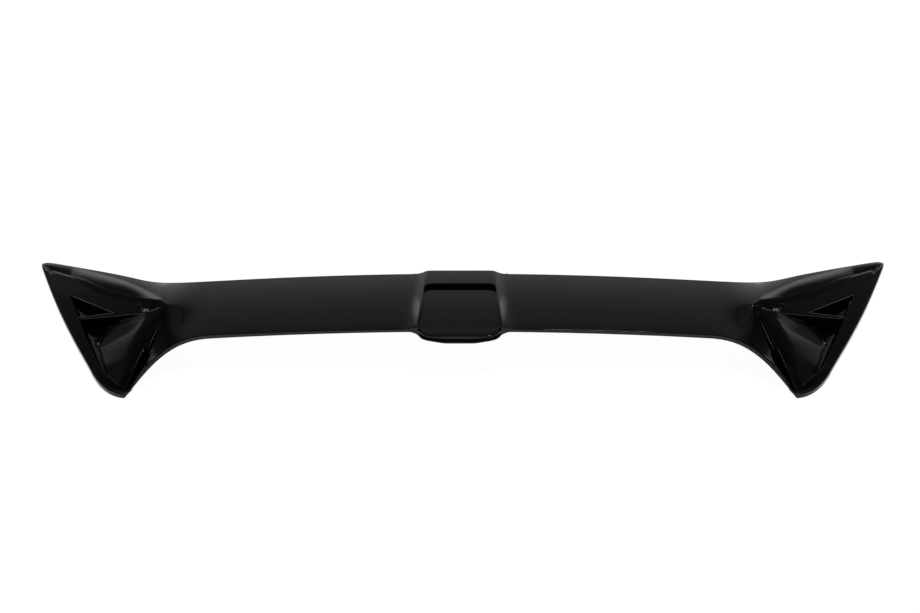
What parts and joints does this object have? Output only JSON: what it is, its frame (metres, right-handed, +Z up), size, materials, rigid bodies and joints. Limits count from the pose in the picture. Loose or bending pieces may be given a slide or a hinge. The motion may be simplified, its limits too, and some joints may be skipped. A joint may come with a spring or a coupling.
{
  "type": "rear roof spoiler",
  "caption": "Gloss black rear roof spoiler for a hatchback: a cambered wing with a raised middle cap and lamp recess, and swept winglets with blind intakes and blades.",
  "frame": {"origin": "middle of the footprint on the floor that the two winglets stand on, z = 0 at their lower rims", "axes": "X across the car from tip to tip, +Y to the front of the car (the leading edge that meets the roof), +Z up"},
  "size_m": [1.252, 0.288, 0.0957],
  "materials": {
    "shell": "piano black gloss"
  },
  "bodies": {
    "root": {"spoiler_shell": "shell"}
  },
  "joints": []
}
